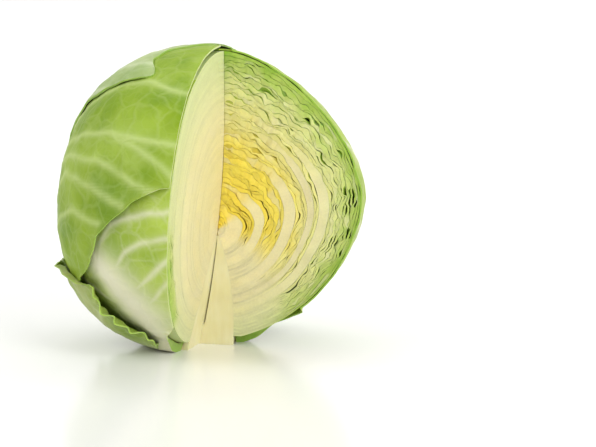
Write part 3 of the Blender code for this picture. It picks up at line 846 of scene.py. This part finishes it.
def add_wrapper(name):
    """A wrapper leaf: a closed slab with a lifted, ruffled margin and raised veins."""
    level = WRAPPER_LEVELS[name]
    rows, last_row, left, right = wrapper_margins(name)
    widest = math.radians(float(np.max((right - left) * np.sin(np.radians(rows))[:, None]))) * 88.0
    across = np.linspace(0.0, 1.0, int(widest / WRAPPER_GRID) + 2)
    row = np.repeat(rows[:, None], len(across), axis=1)
    turn = left + (right - left) * across
    reach = outline(row, turn)
    spot = place(row, turn, reach)
    per_degree = np.radians(1.0) * reach * np.sin(np.radians(row))
    # A margin that the knife made counts as far away: it doesn't curl.
    from_left = np.where(left <= 0.5, 99.0, (turn - left) * per_degree)
    from_right = np.where(right >= KEPT_ANGLE - 0.5, 99.0, (right - turn) * per_degree)
    from_edge = np.minimum(np.minimum(from_left, from_right), np.radians(last_row - row) * reach)
    from_free = {"left": from_left, "right": from_right}.get(FREE_SIDES.get(name), from_edge)

    blade = smoothstep(30.0, 48.0, row)
    thin = smoothstep(*WRAPPER_FOOT_ROWS, row)
    jag = MARGIN_JAG[0] * ripple(spot, MARGIN_JAG[1], 200 + level) * np.exp(-from_edge / 5.0) * blade
    turn = turn + np.where(from_left < from_right, -jag, jag) / per_degree * (from_edge < 50)
    raised, vein, halo = vein_field(name, spot)
    pucker = PUCKER[0] * ripple(spot, PUCKER[1], 220) + FINE_PUCKER[0] * ripple(spot, FINE_PUCKER[1], 221)
    base = reach - level * WRAPPER_STEP * thin
    if name == "wrapper_crown":
        base = base - crown_drop(row, from_left, from_right)
    base = base + blade * margin_lift(name, row, spot, from_free)
    depth = WRAPPER_BASE + (WRAPPER_BLADE - WRAPPER_BASE) * thin
    outer = base + (pucker + raised) * blade
    inner = base + pucker * blade - depth

    gap = np.hypot(spot[..., 0], spot[..., 1]) - stalk_radius(spot[..., 2])
    first = int(np.argmax(gap.min(axis=1) > -WRAPPER_BASE_DEPTH))
    points = np.concatenate([place(row, turn, side)[first:].reshape(-1, 3) for side in (inner, outer)])
    points[:, 2] = np.maximum(points[:, 2], 0.0)
    faces = slab_faces(len(rows) - first, len(across), 0)
    knife = np.repeat([0, 0, 1, 1, 0, 0], [len(side) for side in faces])
    foot = 1.0 - smoothstep(22.0, 46.0, row)
    # The cut edge is pale on the second cut face and green on the first one.
    cut_edge = np.where(turn < 90.0, 0.1, np.where(turn > 262.0, 0.8, 0.2))
    values = {"vein": np.maximum(vein, foot), "halo": halo, "rib": cut_edge,
              "depth": np.ones_like(row), "tone": np.full_like(row, 0.5)}
    values = {title: np.tile(value[first:].ravel(), 2) for title, value in values.items()}
    piece = add_piece(f"{name}_leaf", bend(points), np.concatenate(faces), knife, values,
                      (WRAPPER_LOOKS[name], leaf_cut))
    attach(piece, "root")
    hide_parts(name)


for wrapper in WRAPPER_LEVELS:
    add_wrapper(wrapper)


# ---------------------------------------------------------------------------------------
# Table and light: a white, slightly glossy table that sweeps up behind the head, in a white
# room. The main soft box is at the front right, a weaker one at the front left fills the
# shadows and one lights the backdrop. The camera is low in front of the cut.
# ---------------------------------------------------------------------------------------
AIM = Vector((58.5, 8.6, 69.5)) * MM
CAMERA_TURN = 15.0
CAMERA_RISE = 7.0
CAMERA_DISTANCE = 0.85
CAMERA_LENS = 91.0
TABLE_FLAT = 1.3         # metres from the head to where the white sweep starts to rise
TABLE_SWEEP = 1.2
TABLE_SIDES = 96

bpy.context.scene.view_settings.view_transform = "Standard"

sweep_angles = [math.radians(angle) for angle in range(0, 91, 6)]
sweep = [(0.0, 0.0)] + [(TABLE_FLAT + TABLE_SWEEP * math.sin(angle),
                         TABLE_SWEEP * (1 - math.cos(angle))) for angle in sweep_angles]
table_mesh = bpy.data.meshes.new("table")
table_mesh.from_pydata([(across, 0.0, up) for across, up in sweep],
                       [(i, i + 1) for i in range(len(sweep) - 1)], [])
table = bpy.data.objects.new("table", table_mesh)
bpy.context.scene.collection.objects.link(table)
turning = table.modifiers.new("turning", "SCREW")
turning.steps = turning.render_steps = TABLE_SIDES
turning.use_merge_vertices = True
# White lacquer: clean and smooth, so the head is mirrored in it faintly and out of focus.
table_white = bpy.data.materials.new("white_lacquer")
table_white.use_nodes = True
table_shader = table_white.node_tree.nodes["Principled BSDF"]
table_shader.inputs["Base Color"].default_value = linear("#f4f4f2")
table_shader.inputs["Roughness"].default_value = 0.2
table_mesh.materials.append(table_white)

world = bpy.data.worlds.new("white_room")
world.use_nodes = True
world.node_tree.nodes["Background"].inputs["Color"].default_value = (1.0, 1.0, 1.0, 1.0)
world.node_tree.nodes["Background"].inputs["Strength"].default_value = 0.5
bpy.context.scene.world = world

HEAD_MIDDLE = Vector((0.0, 0.0, 0.08))
BACKDROP = Vector((0.0, 2.2, 0.3))


def add_light(name, target, place_at, size, power):
    """A square soft box that faces a target."""
    lamp = bpy.data.lights.new(name, "AREA")
    lamp.size = size
    lamp.energy = power
    light = bpy.data.objects.new(name, lamp)
    bpy.context.scene.collection.objects.link(light)
    light.location = place_at
    light.rotation_euler = (target - place_at).to_track_quat("-Z", "Y").to_euler()


add_light("right_softbox", HEAD_MIDDLE, Vector((1.0, -0.75, 0.75)), 0.7, 11.5)
add_light("left_softbox", HEAD_MIDDLE, Vector((-0.9, -0.6, 0.9)), 0.8, 6.5)
add_light("backdrop_softbox", BACKDROP, Vector((0.0, 0.7, 1.6)), 1.6, 26.0)

camera_data = bpy.data.cameras.new("camera")
camera_data.lens = CAMERA_LENS
camera = bpy.data.objects.new("camera", camera_data)
bpy.context.scene.collection.objects.link(camera)
aside, rise = math.radians(CAMERA_TURN), math.radians(CAMERA_RISE)
towards = Vector((math.sin(aside) * math.cos(rise), -math.cos(aside) * math.cos(rise),
                  math.sin(rise)))
camera.location = AIM + CAMERA_DISTANCE * towards
camera.rotation_euler = towards.to_track_quat("Z", "Y").to_euler()
bpy.context.scene.camera = camera
